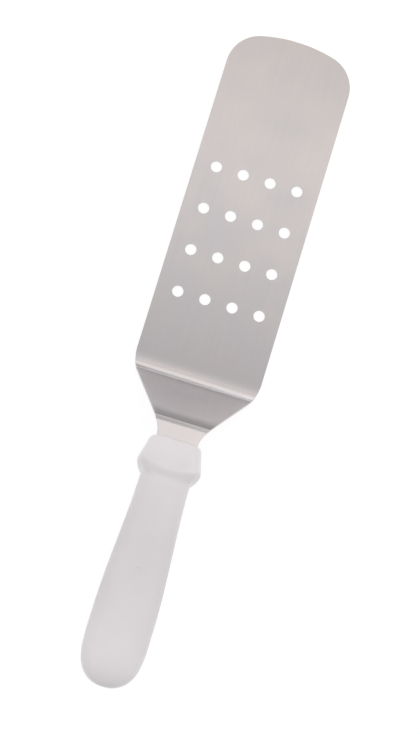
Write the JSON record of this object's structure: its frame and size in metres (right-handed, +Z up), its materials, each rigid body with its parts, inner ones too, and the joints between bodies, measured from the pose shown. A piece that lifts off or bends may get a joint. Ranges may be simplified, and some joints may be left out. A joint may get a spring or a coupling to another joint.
{
  "type": "perforated turner",
  "caption": "Offset kitchen turner: a long perforated steel blade folded up at the heel, and a moulded handle with a finger guard, for lifting and draining food on a griddle.",
  "frame": {"origin": "on the blade's underside, under the middle of the flat blade between the tip and the heel fold", "axes": "+Y to the blade's tip, +Z up from the blade's underside, +X to the right of someone who holds the handle and looks to the tip"},
  "size_m": [0.073, 0.3762, 0.0765],
  "materials": {
    "stainless_steel": "satin rolled sheet with a faint lengthwise grain",
    "white_polypropylene": "satin moulded plastic with a fine mould texture"
  },
  "bodies": {
    "root": {"blade": "stainless_steel", "handle": "white_polypropylene"}
  },
  "joints": []
}
